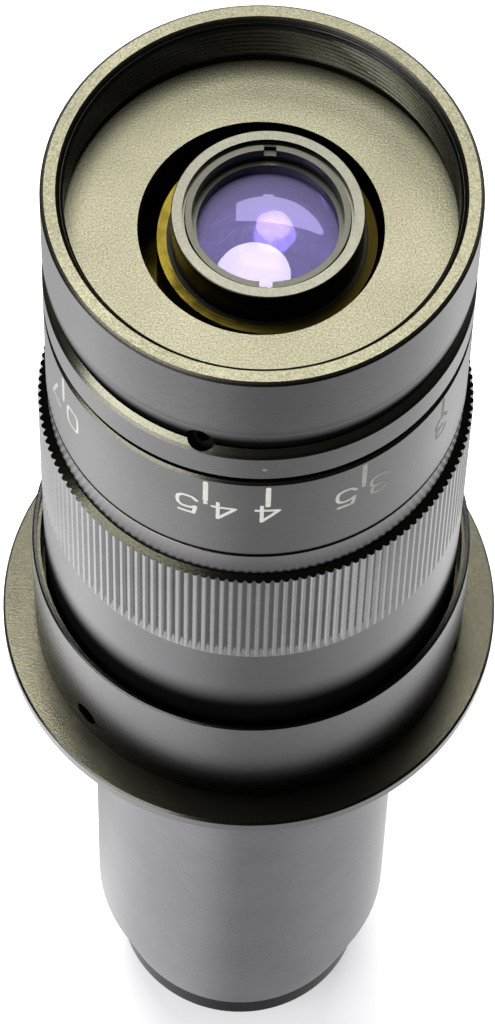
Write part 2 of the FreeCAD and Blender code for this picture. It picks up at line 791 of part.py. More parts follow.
def driver_slot(label, far, height, angle):
    """Screwdriver slot in the outer end of a radial screw."""
    slot = document.addObject("Part::Box", label + "_slot")
    slot.setExpression("Length", bound("driver_slot_depth + driver_slot_depth"))
    slot.setExpression("Width", bound("driver_slot_reach + driver_slot_reach"))
    slot.setExpression("Height", "Sizes.driver_slot")
    turn = FreeCAD.Rotation(FreeCAD.Vector(0, 0, 1), angle)
    corner = FreeCAD.Vector(
        amount(far) - sheet.get("driver_slot_depth"),
        -sheet.get("driver_slot_reach"),
        amount(height) - sheet.get("driver_slot") / 2.0)
    slot.Placement = FreeCAD.Placement(turn.multVec(corner), turn)
    return slot


def scale_ring():
    """Smooth ring that carries the zoom scale."""
    return turned("scale_ring", [
        ("zoom_neck_r + seat_gap", shoulder_top),
        ("scale_r - scale_foot_bevel", shoulder_top),
        ("scale_r", f"{shoulder_top} + scale_foot_bevel"),
        ("scale_r", f"{scale_top} - scale_top_bevel"),
        ("scale_r - scale_top_bevel", scale_top),
        ("zoom_neck_r + seat_gap", scale_top),
    ])


def index_barrel():
    """Fixed band over the scale, screwed on the guide tube. Its top is the lower side of the V groove."""
    barrel = turned("index_barrel_turned", [
        ("guide_r + thread_gap", index_low),
        ("scale_r - index_bevel", index_low),
        ("scale_r", f"{index_low} + index_bevel"),
        ("scale_r", ledge),
        ("groove_r", f"{ledge} + groove_depth"),
        ("cap_neck_r + thread_gap", f"{ledge} + groove_depth"),
        ("cap_neck_r + thread_gap", web_top),
        ("guide_r + thread_gap", web_top),
    ])
    return cut("index_barrel", barrel, [cap_screw_hole("barrel_screw_hole")])


def cap_screw_place(depth):
    """A place on the cap screw's axis, this far down it from the cap's outer radius."""
    lean = sheet.get("cap_screw_lean")
    down = math.radians(lean)
    distance = amount("cap_r") - depth * math.cos(down)
    height = amount(f"{cap_low} - cap_screw_drop") - depth * math.sin(down)
    return outward(distance, height, sheet.get("cap_screw_angle"), lean)


def cap_screw_hole(label):
    """Slanted blind hole from the V groove down into the joint between the cap and the index barrel."""
    hole = document.addObject("Part::Cylinder", label)
    hole.setExpression("Radius", bound("cap_screw_r"))
    hole.setExpression("Height", bound("cap_screw_depth + cap_screw_depth"))
    hole.Placement = cap_screw_place(amount("cap_screw_depth"))
    return hole


def front_cap():
    """Cap with the accessory thread, the recessed plate and its window. Its foot is turned to a ball, and
    the underside of that is the upper side of the V groove."""
    cap = turned("front_cap_turned", [
        ("cap_neck_r", web_top),
        ("cap_neck_r", cap_seat),
        ("groove_r - groove_floor", cap_seat),
        ("cap_r", cap_low),
        ("cap_r", f"{rim_top} - rim_bevel"),
        ("cap_r - rim_bevel", rim_top),
        ("rim_bore_r", rim_top),
        ("accessory_thread_r", f"{rim_top} - rim_bore_r + accessory_thread_r"),
        ("accessory_thread_r", f"{plate_top} + thread_runout_len"),
        ("thread_runout_r", f"{plate_top} + thread_runout_len"),
        ("thread_runout_r", plate_top),
        ("window_r", plate_top),
        ("window_r", plate_low),
        ("cap_cavity_r", plate_low),
        ("cap_cavity_r", web_top),
    ])
    band = upright_cylinder("cap_foot_band", "cap_r + end_gap", cap_seat, f"{cap_low} + cap_foot_len")
    crown = ball("cap_foot_crown", "cap_r + cap_foot_swell", f"{cap_low} + cap_foot_rise")
    return cut("front_cap", cap, [cut("cap_foot_waste", band, [crown]), cap_screw_hole("cap_screw_hole")])


def cap_grub_screw():
    """Screw sunk in the slanted hole, half in the cap and half in the barrel, so that neither unscrews."""
    foot = cap_screw_place(amount("cap_screw_depth - end_gap"))
    return grub_screw("cap_grub_screw", "cap_screw_r", "cap_screw_len", "cap_socket_depth", foot)


def carrier_body(label, low, high, foot_r):
    """Brass body that slides in the guide tube on a land at each end, still solid inside."""
    land_r = "guide_bore_r - land_gap"
    waist_r = "guide_bore_r - land_gap - land_relief"
    return turned(label, [
        (foot_r, low),
        (land_r, low),
        (land_r, f"{low} + land_len"),
        (waist_r, f"{low} + land_len"),
        (waist_r, f"{high} - land_len"),
        (land_r, f"{high} - land_len"),
        (land_r, high),
        (foot_r, high),
    ])


def follower_hole(label, height, angle):
    """Threaded hole for a follower pin's stud."""
    far = "guide_bore_r - land_gap"
    near = "guide_bore_r - land_gap - land_relief - follower_stud_len - thread_gap"
    return radial_cylinder(label, "follower_stud_r + thread_gap", near, far, height, angle)


def follower_pin(label, height, angle):
    """Shoulder screw: its stud is in the carrier, and its shoulder runs in both slots."""
    waist = "guide_bore_r - land_gap - land_relief"
    end = "sleeve_r - follower_end_drop"
    shoulder = radial_cylinder(label + "_shoulder", "follower_r", waist, end, height, angle)
    stud = radial_cylinder(label + "_stud", "follower_stud_r", f"{waist} - follower_stud_len", end, height, angle)
    blank = joined(label + "_blank", [shoulder, stud])
    return cut(label, blank, [driver_slot(label, end, height, angle)])


def front_carrier():
    """Carrier of the front group. Its neck stands a little beside the axis, where the cell was centred."""
    body = carrier_body("front_carrier_body", front_low, front_body_top, "front_bore_r + group_offset")
    floor = turned("front_carrier_floor", [
        ("front_bore_r", front_low),
        ("front_neck_r", front_low),
        ("front_neck_r", front_neck_top),
        ("front_bore_r", front_neck_top),
    ])
    floor.setExpression("Placement.Base.x", "Sizes.group_offset")
    bore = upright_cylinder(
        "front_cell_bore", "front_cell_body_r + thread_gap", front_cell_low,
        f"{front_neck_top} + end_gap", "group_offset")
    clear = upright_cylinder(
        "front_clear_bore", "front_bore_r", f"{front_low} - end_gap", f"{front_neck_top} + end_gap", "group_offset")
    solid = joined("front_carrier_solid", [body, floor])
    return cut("front_carrier", solid, [bore, clear, follower_hole("front_stud_hole", front_follower_height, 0.0)])


def front_lens_cell():
    """Black cell that holds the front doublet and stands through the cap's window."""
    cell = turned("front_lens_cell", [
        ("front_clear_r", front_cell_low),
        ("front_cell_body_r", front_cell_low),
        ("front_cell_body_r", front_neck_top),
        ("front_cell_r", front_neck_top),
        ("front_cell_r", f"{front_cell_top} - cell_bevel"),
        ("front_cell_r - cell_bevel", front_cell_top),
        ("cell_mouth_r", front_cell_top),
        ("cell_mouth_r", f"{front_cell_top} - cell_mouth_len"),
        ("front_lens_r + front_lens_gap", f"{front_cell_top} - cell_mouth_len"),
        ("front_lens_r + front_lens_gap", front_seat),
        ("front_clear_r", front_seat),
    ])
    cell.setExpression("Placement.Base.x", "Sizes.group_offset")
    return cell


def front_doublet():
    """Crown and flint, cemented on one curved face."""
    cement_middle = f"{cement_edge} - sag(cement_face_r,front_lens_r) + cement_face_r"
    face_middle = f"{crown_edge} + sag(crown_face_r,front_lens_r) - crown_face_r"
    crown_low = f"{cement_edge} - sag(cement_face_r,front_lens_r)"
    crown_top = f"{crown_edge} + sag(crown_face_r,front_lens_r)"
    disc = upright_cylinder("crown_disc", "front_lens_r", crown_low, crown_top, "group_offset")
    face = ball("crown_face", "crown_face_r", face_middle, "group_offset")
    cement = ball("crown_cement_face", "cement_face_r", cement_middle, "group_offset")
    crown = common("front_lens_crown", [disc, face, cement])
    plate = upright_cylinder("flint_disc", "front_lens_r", front_seat, cement_edge, "group_offset")
    hollow = ball("flint_cement_face", "cement_face_r", cement_middle, "group_offset")
    flint = cut("front_lens_flint", plate, [hollow])
    return [crown, flint]


def front_retaining_ring():
    """Threaded ring that holds the front doublet, with a stepped bore and two spanner notches."""
    low = f"{crown_edge} + sag(crown_face_r,front_lens_r) - sag(crown_face_r,front_lip_r) + end_gap"
    high = f"{front_cell_top} - front_ring_sink"
    ring = turned("front_retaining_ring_turned", [
        ("front_lip_r", low),
        ("front_ring_r", low),
        ("front_ring_r", high),
        ("front_ring_bore_r", high),
        ("front_ring_bore_r", f"{low} + front_lip_len"),
        ("front_lip_r", f"{low} + front_lip_len"),
    ])
    ring.setExpression("Placement.Base.x", "Sizes.group_offset")
    bar = spanner_notches("front_spanner_notches", "front_ring_r", high, "group_offset")
    return cut("front_retaining_ring", ring, [bar])


def rear_carrier():
    """Carrier of the rear moving group."""
    body = carrier_body("rear_carrier_body", rear_low, rear_top, "rear_bore_r")
    pocket = upright_cylinder("rear_cell_bore", "rear_cell_r + thread_gap", rear_cell_low, f"{rear_top} + end_gap")
    return cut("rear_carrier", body, [pocket, follower_hole("rear_stud_hole", rear_follower_height, 180.0)])


def rear_lens_cell():
    """Cell of the rear moving lens."""
    bore = "rear_lens_r + seat_gap"
    high = f"{rear_cell_low} + rear_cell_len"
    return turned("rear_lens_cell", [
        ("rear_clear_r", rear_cell_low),
        ("rear_cell_r", rear_cell_low),
        ("rear_cell_r", high),
        (bore, high),
        (bore, rear_seat),
        ("rear_clear_r", rear_seat),
    ])


def rear_lens():
    """Hollow-ground lens with a flat rim on each face."""
    disc = upright_cylinder("rear_lens_disc", "rear_lens_r", rear_seat, rear_lens_top)
    above = ball("rear_lens_upper_face", "rear_face_r", f"{rear_lens_top} - sag(rear_face_r,rear_dish_r) + rear_face_r")
    below = ball("rear_lens_lower_face", "rear_face_r", f"{rear_seat} + sag(rear_face_r,rear_dish_r) - rear_face_r")
    return cut("rear_lens", disc, [above, below])


def rear_retaining_ring():
    """Ring that holds the rear moving lens."""
    high = f"{rear_lens_top} + rear_ring_len"
    ring = turned("rear_retaining_ring_turned", [
        ("rear_ring_bore_r", rear_lens_top),
        ("rear_lens_r", rear_lens_top),
        ("rear_lens_r", high),
        ("rear_ring_bore_r", high),
    ])
    return cut("rear_retaining_ring", ring, [spanner_notches("rear_spanner_notches", "rear_lens_r", high)])


def relay_group():
    """Cell, lens and ring of the fixed rear group, seated on the tube's step."""
    bore = "relay_lens_r + seat_gap"
    cell = turned("relay_lens_cell", [
        ("relay_clear_r", relay_low),
        ("relay_bore_r - thread_gap", relay_low),
        ("relay_bore_r - thread_gap", f"{relay_low} + relay_cell_len"),
        (bore, f"{relay_low} + relay_cell_len"),
        (bore, relay_seat),
        ("relay_clear_r", relay_seat),
    ])
    edge = f"{relay_seat} + relay_edge_len"
    crest = f"{edge} + sag(relay_face_r,relay_lens_r)"
    disc = upright_cylinder("relay_lens_disc", "relay_lens_r", relay_seat, crest)
    face = ball("relay_lens_face", "relay_face_r", f"{crest} - relay_face_r")
    lens = common("relay_lens", [disc, face])
    low = f"{crest} - sag(relay_face_r,relay_ring_bore_r) + end_gap"
    high = f"{low} + relay_ring_len"
    ring = turned("relay_retaining_ring_turned", [
        ("relay_ring_bore_r", low),
        ("relay_lens_r", low),
        ("relay_lens_r", high),
        ("relay_ring_bore_r", high),
    ])
    holder = cut("relay_retaining_ring", ring, [spanner_notches("relay_spanner_notches", "relay_lens_r", high)])
    return [cell, lens, holder]


pieces = [
    camera_ring(),
    rear_tube(),
    light_baffle(),
    *relay_group(),
    mounting_collar(),
    collar_grub_screws(),
    stop_pin(),
    guide_tube(),
    cam_sleeve(),
    *washers(),
    zoom_ring(),
    zoom_drive_screws(),
    scale_ring(),
    index_barrel(),
    front_cap(),
    cap_grub_screw(),
    front_carrier(),
    follower_pin("front_follower_pin", front_follower_height, 0.0),
    front_lens_cell(),
    *front_doublet(),
    front_retaining_ring(),
    rear_carrier(),
    follower_pin("rear_follower_pin", rear_follower_height, 180.0),
    rear_lens_cell(),
    rear_lens(),
    rear_retaining_ring(),
]
document.recompute()

for item in document.Objects:
    if "Invalid" in item.State or "Error" in item.State:
        raise RuntimeError(f"{item.Label} could not be worked out: {item.State}")
for piece in pieces:
    if piece.Shape.isNull() or not piece.Shape.isValid():
        raise RuntimeError(f"{piece.Label} has no valid solid")

os.makedirs("parts", exist_ok=True)
for piece in pieces:
    piece.Shape.exportStep(f"parts/{piece.Label}.step")
    print(f"{piece.Label}: {len(piece.Shape.Solids)} solid, {piece.Shape.Volume:.1f} cubic mm")
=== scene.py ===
import math

import bpy
import numpy as np
from mathutils import Matrix, Vector


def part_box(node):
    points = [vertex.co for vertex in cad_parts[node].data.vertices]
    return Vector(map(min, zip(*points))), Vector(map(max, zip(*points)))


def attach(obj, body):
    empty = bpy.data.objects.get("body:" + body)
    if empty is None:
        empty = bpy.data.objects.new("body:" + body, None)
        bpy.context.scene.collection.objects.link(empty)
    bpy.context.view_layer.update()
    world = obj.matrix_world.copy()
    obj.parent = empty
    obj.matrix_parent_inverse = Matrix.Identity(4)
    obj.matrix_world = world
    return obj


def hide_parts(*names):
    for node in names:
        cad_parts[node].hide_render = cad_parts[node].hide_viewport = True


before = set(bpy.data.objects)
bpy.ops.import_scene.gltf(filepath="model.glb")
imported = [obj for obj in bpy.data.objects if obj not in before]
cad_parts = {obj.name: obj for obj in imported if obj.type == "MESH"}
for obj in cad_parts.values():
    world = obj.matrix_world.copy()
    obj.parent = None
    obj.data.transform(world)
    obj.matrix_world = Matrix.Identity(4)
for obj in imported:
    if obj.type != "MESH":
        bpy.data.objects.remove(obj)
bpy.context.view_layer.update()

# Shapes below are in millimetres in the lens's own frame and become metres when their mesh is filled.
# Z runs up the optical axis, and the side with the index dot faces -Y.
millimetre = 0.001
print("frame loaded:", len(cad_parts), "nodes")

# Where the CAD pieces lie, read from their boxes


def footOf(node):
    return round(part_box(node)[0][2] / millimetre, 3)


def topOf(node):
    return round(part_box(node)[1][2] / millimetre, 3)


def radiusOf(node):
    # Of a piece that is round about the axis: how far it reaches along X.
    return round(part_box(node)[1][0] / millimetre, 3)


capTop, cellTop = topOf("front_cap"), topOf("front_lens_cell")
barrelTop, collarTop = topOf("index_barrel"), topOf("mounting_collar")
scaleTop, scaleFoot = topOf("scale_ring"), footOf("scale_ring")
tubeFoot = footOf("rear_tube")
ledgeHeight = scaleFoot - 4.35      # the zoom ring's ledge over its knurl

# Camera

cameraSpot = {
    "aimHeight": 115.15,        # the point on the axis that the camera looks at
    "distance": 594.25,
    "elevation": 62.254,        # degrees above the floor
    "roll": 1.867,              # degrees
    "focal": 184.38,
    "sensor": 36.0,             # along the picture's long side
    "shiftX": -0.00428,
    "clip": (0.01, 20.0),       # metres
}


def setCamera(spot):
    elevation, roll = math.radians(spot["elevation"]), math.radians(spot["roll"])
    ahead = Vector((0, math.cos(elevation), -math.sin(elevation)))
    up = Vector((0, math.sin(elevation), math.cos(elevation)))
    right = Vector((1, 0, 0))
    turnedRight = right * math.cos(roll) + up * math.sin(roll)
    turnedUp = up * math.cos(roll) - right * math.sin(roll)
    data = bpy.data.cameras.new("photoCamera")
    data.lens, data.sensor_width, data.shift_x = spot["focal"], spot["sensor"], spot["shiftX"]
    data.clip_start, data.clip_end = spot["clip"]
    camera = bpy.data.objects.new("photoCamera", data)
    bpy.context.scene.collection.objects.link(camera)
    turn = Matrix((turnedRight, turnedUp, -ahead)).transposed().to_4x4()
    place = (Vector((0, 0, spot["aimHeight"])) - ahead * spot["distance"]) * millimetre
    camera.matrix_world = Matrix.Translation(place) @ turn
    bpy.context.scene.camera = camera


setCamera(cameraSpot)
bpy.context.scene.view_settings.view_transform = "Standard"
print("camera set")

# Meshes worked out as whole arrays


def fillMesh(name, points, faces, sharpAngle):
    # Points are in millimetres. The order of each face is turned round where the closed shell's volume,
    # the sum of its corner tetrahedra, comes out negative, so that faces look outwards. Edges that bend
    # by more than the sharp angle, in degrees, stay sharp.
    fan = np.concatenate([faces[:, [0, 1, 2]], faces[:, [0, 2, 3]]])
    a, b, c = points[fan[:, 0]], points[fan[:, 1]], points[fan[:, 2]]
    if np.einsum("ij,ij->i", a, np.cross(b, c)).sum() < 0:
        faces = faces[:, ::-1]
    mesh = bpy.data.meshes.new(name)
    mesh.from_pydata(points * millimetre, [], faces.tolist())
    mesh.polygons.foreach_set("use_smooth", np.ones(len(faces), bool))
    mesh.set_sharp_from_angle(angle=math.radians(sharpAngle))
    mesh.update()
    return mesh


def aroundAxis(radius, angle, height):
    # Points from their radius, angle and height: radius times cosine, radius times sine, height.
    radius, angle, height = np.broadcast_arrays(radius, angle, height)
    return np.stack([radius * np.cos(angle), radius * np.sin(angle), height], -1)


def loopedGrid(grid):
    # Quads over a grid of points that closes on itself both ways, row by row and round each row.
    rows, across = grid.shape[:2]
    index = np.arange(rows * across).reshape(rows, across)
    nextRow, nextAcross = np.roll(index, -1, 0), np.roll(index, -1, 1)
    corners = np.stack([index, nextAcross, np.roll(nextRow, -1, 1), nextRow], -1)
    return grid.reshape(-1, 3), corners.reshape(-1, 4)


def addPiece(name, mesh, material, body):
    mesh.materials.append(material)
    piece = bpy.data.objects.new(name, mesh)
    bpy.context.scene.collection.objects.link(piece)
    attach(piece, body)
    return piece


def denseProfile(corners, step):
    # Walks the closed outline of (radius, height) corners and adds points so that none lie further apart.
    corners = np.array(corners, float)
    following = np.roll(corners, -1, 0)
    spans = np.linalg.norm(following - corners, axis=1)
    counts = np.maximum(1, np.ceil(spans / step).astype(int))
    return np.concatenate([
        start + (end - start) * np.linspace(0, 1, count, endpoint=False)[:, None]
        for start, end, count in zip(corners, following, counts)
    ])


threadForm = {"rootFlat": 0.12, "flank": 0.70}      # shares of half a pitch; the crest's flat is the rest


def ridge(phase):
    # How far a thread stands up at a phase, in turns: 0 at the root, 1 at the crest, straight between.
    wave = np.abs((phase % 1.0) * 2.0 - 1.0)
    return np.clip((wave - threadForm["rootFlat"]) / threadForm["flank"], 0.0, 1.0)


# Node trees

flatFrom, flatTo = 0.55, 0.85       # how upright a normal is where a wall ends, and where a flat face starts


class Wiring:
    # Adds nodes to one tree. Each value is a number, a vector, a colour or another node's output.
    def __init__(self, tree):
        self.tree = tree

    def feed(self, socket, value):
        if isinstance(value, bpy.types.NodeSocket):
            self.tree.links.new(value, socket)
        else:
            socket.default_value = value

    def node(self, kind, inputs=(), **settings):
        made = self.tree.nodes.new("ShaderNode" + kind)
        for key, value in settings.items():
            setattr(made, key, value)
        for key, value in dict(inputs).items():
            self.feed(made.inputs[key], value)
        return made

    def maths(self, operation, *values):
        return self.node("Math", enumerate(values), operation=operation).outputs[0]

    def vector(self, operation, *values):
        # A length or a dot product comes out as a number, and the rest as a vector.
        made = self.node("VectorMath", enumerate(values), operation=operation)
        return made.outputs["Value" if operation in ("LENGTH", "DOT_PRODUCT") else "Vector"]

    def scaled(self, vector, share):
        return self.node("VectorMath", {0: vector, "Scale": share}, operation="SCALE").outputs[0]

    def parts(self, vector):
        return self.node("SeparateXYZ", {0: vector}).outputs

    def between(self, value, start, end, low=0.0, high=1.0):
        # Goes smoothly from low to high while the value goes from start to end.
        inputs = {"Value": value, "From Min": start, "From Max": end, "To Min": low, "To Max": high}
        return self.node("MapRange", inputs, interpolation_type="SMOOTHSTEP").outputs["Result"]

    def within(self, value, low, high):
        # 1 between the limits and 0 outside them.
        return self.maths("MULTIPLY", self.maths("GREATER_THAN", value, low),
                          self.maths("LESS_THAN", value, high))

    def varied(self, value, share):
        # Goes from 1 less the share to 1 plus the share while the value goes from 0 to 1.
        return self.maths("MULTIPLY_ADD", value, 2 * share, 1 - share)

    def blend(self, share, first, second):
        # Of the node's sockets, 6 and 7 are the two colours and output 2 is the mixed one.
        return self.node("Mix", {"Factor": share, 6: first, 7: second}, data_type="RGBA").outputs[2]

    def spot(self):
        # Object coordinates, in millimetres.
        return self.scaled(self.node("TexCoord").outputs["Object"], 1 / millimetre)

    def grain(self, spot, scale, detail=2.0):
        return self.node("TexNoise", {"Vector": spot, "Scale": scale, "Detail": detail}).outputs["Fac"]

    def turning(self, spot, scale, detail=3.0):
        # A lathe tool's marks: noise along the sum of the height and the distance from the axis, which
        # is the root of x times x plus y times y.
        x, y, z = self.parts(spot)
        square = self.maths("ADD", self.maths("MULTIPLY", x, x), self.maths("MULTIPLY", y, y))
        along = self.maths("ADD", self.maths("SQRT", square), z)
        inputs = {"W": along, "Scale": scale, "Detail": detail}
        return self.node("TexNoise", inputs, noise_dimensions="1D").outputs["Fac"]

    def facing(self):
        # How far the surface faces up or down the axis, from 0 on a wall to 1 on a flat face.
        upright = self.parts(self.node("NewGeometry").outputs["True Normal"])[2]
        return self.between(self.maths("ABSOLUTE", upright), flatFrom, flatTo)

    def rays(self, first, *others):
        # 1 for the named kinds of ray and 0 for the rest.
        path = self.node("LightPath").outputs
        total = path[f"Is {first} Ray"]
        for other in others:
            total = self.maths("MAXIMUM", total, path[f"Is {other} Ray"])
        return total

    def lean(self, normal, toward, amount):
        # Tips the normal toward a direction, by an amount that may vary from place to place.
        normal = normal or self.node("NewGeometry").outputs["Normal"]
        return self.vector("NORMALIZE", self.vector("ADD", normal, self.scaled(toward, amount)))


class Finish(Wiring):
    # The wiring of one new material round its Principled shader.
    sockets = {"colour": "Base Color", "metal": "Metallic", "rough": "Roughness", "ior": "IOR",
               "level": "Specular IOR Level", "tint": "Specular Tint", "clear": "Transmission Weight"}

    def __init__(self, name):
        self.material = bpy.data.materials.new(name)
        self.material.use_nodes = True
        super().__init__(self.material.node_tree)
        self.shader = self.tree.nodes["Principled BSDF"]

    def bump(self, height, normal=None):
        # The height is in metres.
        inputs = {"Height": height, "Strength": 1.0, "Distance": 1.0}
        if normal:
            inputs["Normal"] = normal
        self.feed(self.shader.inputs["Normal"], self.node("Bump", inputs).outputs[0])

    def done(self, **values):
        for key, value in values.items():
            self.feed(self.shader.inputs[self.sockets[key]], value)
        return self.material


# Black anodised finishes: dark dye over turned or blasted aluminium. Heights are in millimetres.

anodiseLook = {
    "wallColour": (0.046, 0.044, 0.046, 1),
    # flat faces: a lighter, olive copy of the wall's colour, painted light from the lamps above
    "faceColour": (0.105, 0.100, 0.068, 1),
    "metal": 1.0,               # the dyed skin mirrors a little and scatters nothing
    "level": 0.5,
    "edge": 1.0,                # how bright the skin is at a glancing look, beside a bare metal
    "wallRough": 0.27,
    "faceRough": 0.20,          # turned faces; blasted ones are rougher
    "turnScale": 9.0,           # turning marks per millimetre, roughly
    "turnDepth": 0.0000006,     # metres
    "markDepth": 0.035,         # how much the turning marks vary the roughness, up and down
    "blastScale": 5.5,          # blasted grains per millimetre
    "blastDetail": 3.0,
    "blastDepth": 0.000012,     # metres
    "cloudScale": 0.09,
    "cloud": 0.22,              # how much the dye's depth varies
    "speckle": 0.5,             # how much the colour varies from grain to grain
    "wallBands": (),            # heights between which walls have another colour: low, high, colour
    "faceBands": (),            # the same for flat faces, where the bands are painted highlights and painted shade
    "dull": None,               # heights between which the skin goes from painted shade, black and without shine, to its own shine
    "dullest": 0.08,            # the share of its colour that it keeps in that painted shade
    "broken": None,             # a ledge with a broken edge, which shines outwards too: low, high, lean
    "upturned": None,           # a wall that shines as if it leant back: low, high, lean, fade upwards
}


def bandedColour(wiring, height, colour, bands):
    for low, high, bandColour in bands:
        colour = wiring.blend(wiring.within(height, low, high), colour, bandColour)
    return colour


def leaningNormal(wiring, look, spot, height, flat):
    # The broken ledge leans away from the axis where it is flat. The upturned wall leans up by its lean
    # times what is left of 1 after the smooth fade, and not where it is flat.
    normal = None
    if look["broken"]:
        low, high, lean = look["broken"]
        ledge = wiring.maths("MULTIPLY", flat, wiring.within(height, low, high))
        outward = wiring.vector("NORMALIZE", wiring.vector("MULTIPLY", spot, (1, 1, 0)))
        normal = wiring.lean(normal, outward, wiring.maths("MULTIPLY", ledge, lean))
    if look["upturned"]:
        low, high, lean, fade = look["upturned"]
        lost = wiring.maths("MULTIPLY", wiring.between(height, low, high), fade)
        kept = wiring.maths("SUBTRACT", wiring.within(height, low, high), lost)
        onWall = wiring.maths("SUBTRACT", 1.0, flat)
        run = wiring.maths("MULTIPLY", wiring.maths("MAXIMUM", kept, 0.0), onWall)
        normal = wiring.lean(normal, (0, 0, 1), wiring.maths("MULTIPLY", run, lean))
    return normal


def anodised(name, **changes):
    # The colour is the wall's or the face's, by how flat the place lies, times a slow cloud and a fine
    # speckle. The face's colour is a lighter, olive copy of the same skin: painted light from the lamps
    # above. The relief is turning marks everywhere and blasted grains on flat faces.
    look = {**anodiseLook, **changes}
    wiring = Finish(name)
    spot = wiring.spot()
    height = wiring.parts(spot)[2]
    flat = wiring.facing()
    marks = wiring.turning(spot, look["turnScale"])
    grit = wiring.grain(spot, look["blastScale"], look["blastDetail"])
    cloud = wiring.varied(wiring.grain(spot, look["cloudScale"]), look["cloud"])
    depth = wiring.maths("MULTIPLY", cloud, wiring.varied(grit, look["speckle"]))
    metal = look["metal"]
    # below the given heights the skin loses its shine and its colour: painted shade
    if look["dull"]:
        metal = wiring.between(height, *look["dull"])
        depth = wiring.maths("MULTIPLY", depth, wiring.maths("MAXIMUM", metal, look["dullest"]))
    # flat faces take the lighter face colour, which is painted light
    colour = wiring.blend(flat, bandedColour(wiring, height, look["wallColour"], look["wallBands"]),
                          bandedColour(wiring, height, look["faceColour"], look["faceBands"]))
    rough = wiring.maths("MULTIPLY_ADD", flat, look["faceRough"] - look["wallRough"], look["wallRough"])
    rough = wiring.maths("MULTIPLY", rough, wiring.varied(marks, look["markDepth"]))
    grains = wiring.maths("MULTIPLY", wiring.maths("MULTIPLY", grit, flat), look["blastDepth"])
    relief = wiring.maths("ADD", wiring.maths("MULTIPLY", marks, look["turnDepth"]), grains)
    wiring.bump(relief, leaningNormal(wiring, look, spot, height, flat))
    return wiring.done(colour=wiring.scaled(colour, depth), metal=metal, rough=rough, level=look["level"],
                       tint=(look["edge"],) * 3 + (1,))


finish = {
    "cap": anodised("capAnodise", wallColour=(0.036, 0.034, 0.036, 1),
                    faceRough=0.42, speckle=0.85, blastScale=5.0, blastDepth=0.000022,
                    # its foot is dulled and darkened, and the slope in its mouth darkened: painted shade
                    dull=(barrelTop + 2.05, barrelTop + 5.55), level=0.0,
                    faceBands=((capTop - 1.3, capTop - 0.2, (0.020, 0.020, 0.015, 1)),)),
    "barrel": anodised("barrelAnodise",
                       # the ledge under the cap is lighter: painted light
                       faceBands=((barrelTop - 0.55, barrelTop + 0.95, (0.190, 0.185, 0.130, 1)),)),
    "scale": anodised("scaleRingAnodise",
                      # its foot is black and without shine: painted shade at its joint with the shoulder
                      wallBands=((scaleFoot - 0.1, scaleFoot + 0.7, (0.004, 0.004, 0.004, 1)),),
                      dull=(scaleFoot + 0.45, scaleFoot + 0.9), level=0.0),
    "collar": anodised("collarAnodise", faceColour=(0.060, 0.057, 0.041, 1),
                       # its top rim is darker: painted shade
                       faceBands=((collarTop - 0.75, collarTop + 0.25, (0.030, 0.030, 0.028, 1)),)),
    "knurl": anodised("zoomRingAnodise", wallColour=(0.036, 0.034, 0.037, 1), wallRough=0.25,
                      # the knurled band and the shoulder over it
                      wallBands=((ledgeHeight - 17.75, ledgeHeight - 0.01, (0.145, 0.141, 0.145, 1)),
                                 (ledgeHeight - 0.01, ledgeHeight + 5.25, (0.075, 0.072, 0.074, 1))),
                      # the ledge over the knurl is darker: painted shade
                      faceBands=((ledgeHeight - 0.25, ledgeHeight + 0.25, (0.050, 0.048, 0.034, 1)),),
                      broken=(ledgeHeight - 0.25, ledgeHeight + 0.25, 0.9),
                      upturned=(ledgeHeight + 0.01, scaleFoot - 0.2, 0.24, 1.0),
                      # the skirt darkens and loses its shine down towards the collar: painted shade
                      dull=(collarTop + 2.55, collarTop + 8.45), level=0.0),
    "tube": anodised("tubeAnodise", wallColour=(0.102, 0.0985, 0.109, 1), edge=0.72,
                     # the tapered foot
                     upturned=(tubeFoot - 0.05, tubeFoot + 10.0, 0.24, 0.0)),
    "cell": anodised("cellAnodise", wallColour=(0.010, 0.009, 0.008, 1),
                     faceColour=(0.105, 0.101, 0.080, 1), faceRough=0.46,
                     # all that lies below its rim is darker: painted shade inside the lens
                     faceBands=((0.0, cellTop - 1.45, (0.010, 0.010, 0.009, 1)),)),
    "cellRing": anodised("cellRingAnodise", wallColour=(0.010, 0.009, 0.008, 1),
                         faceColour=(0.045, 0.044, 0.035, 1), faceRough=0.40),
    "ring": anodised("cameraRingAnodise", wallColour=(0.004, 0.0045, 0.006, 1), wallRough=0.34,
                     faceColour=(0.02, 0.02, 0.022, 1), edge=0.6),
    "matt": anodised("mattBlack", wallColour=(0.004, 0.004, 0.004, 1),
                     faceColour=(0.004, 0.004, 0.004, 1), metal=0.0, wallRough=0.6, faceRough=0.65,
                     level=0.08),
}
print("anodised finishes made")

# Brass, bronze, steel

turnedLook = {
    "turnScale": 7.0,           # turning marks per millimetre, roughly
    "turnDepth": 0.000006,      # metres
    "roughSpread": 0.08,        # how much the marks vary the roughness, up and down
    "stainScale": 0.35, "stainDetail": 4.0,
    "stained": (0.42, 0.68),    # the noise where the dull stain starts and where it is full
    "paintedSideShade": None,            # painted shade, darker towards the right, from left to right: where it starts, where it is full, its colour
}
metalLook = {
    # brass darkened overall: painted shade down inside the lens; its noisy stain is its own
    "brass": {"colour": (0.080, 0.061, 0.009, 1), "dull": (0.030, 0.022, 0.0035, 1), "rough": 0.30,
              "paintedSideShade": (-6.0, 5.0, (0.011, 0.008, 0.0015, 1))},
    "bronze": {"colour": (0.50, 0.32, 0.13, 1), "dull": (0.30, 0.19, 0.08, 1), "rough": 0.35},
    "steel": {"colour": (0.10, 0.10, 0.11, 1), "dull": (0.05, 0.05, 0.055, 1), "rough": 0.35},
}


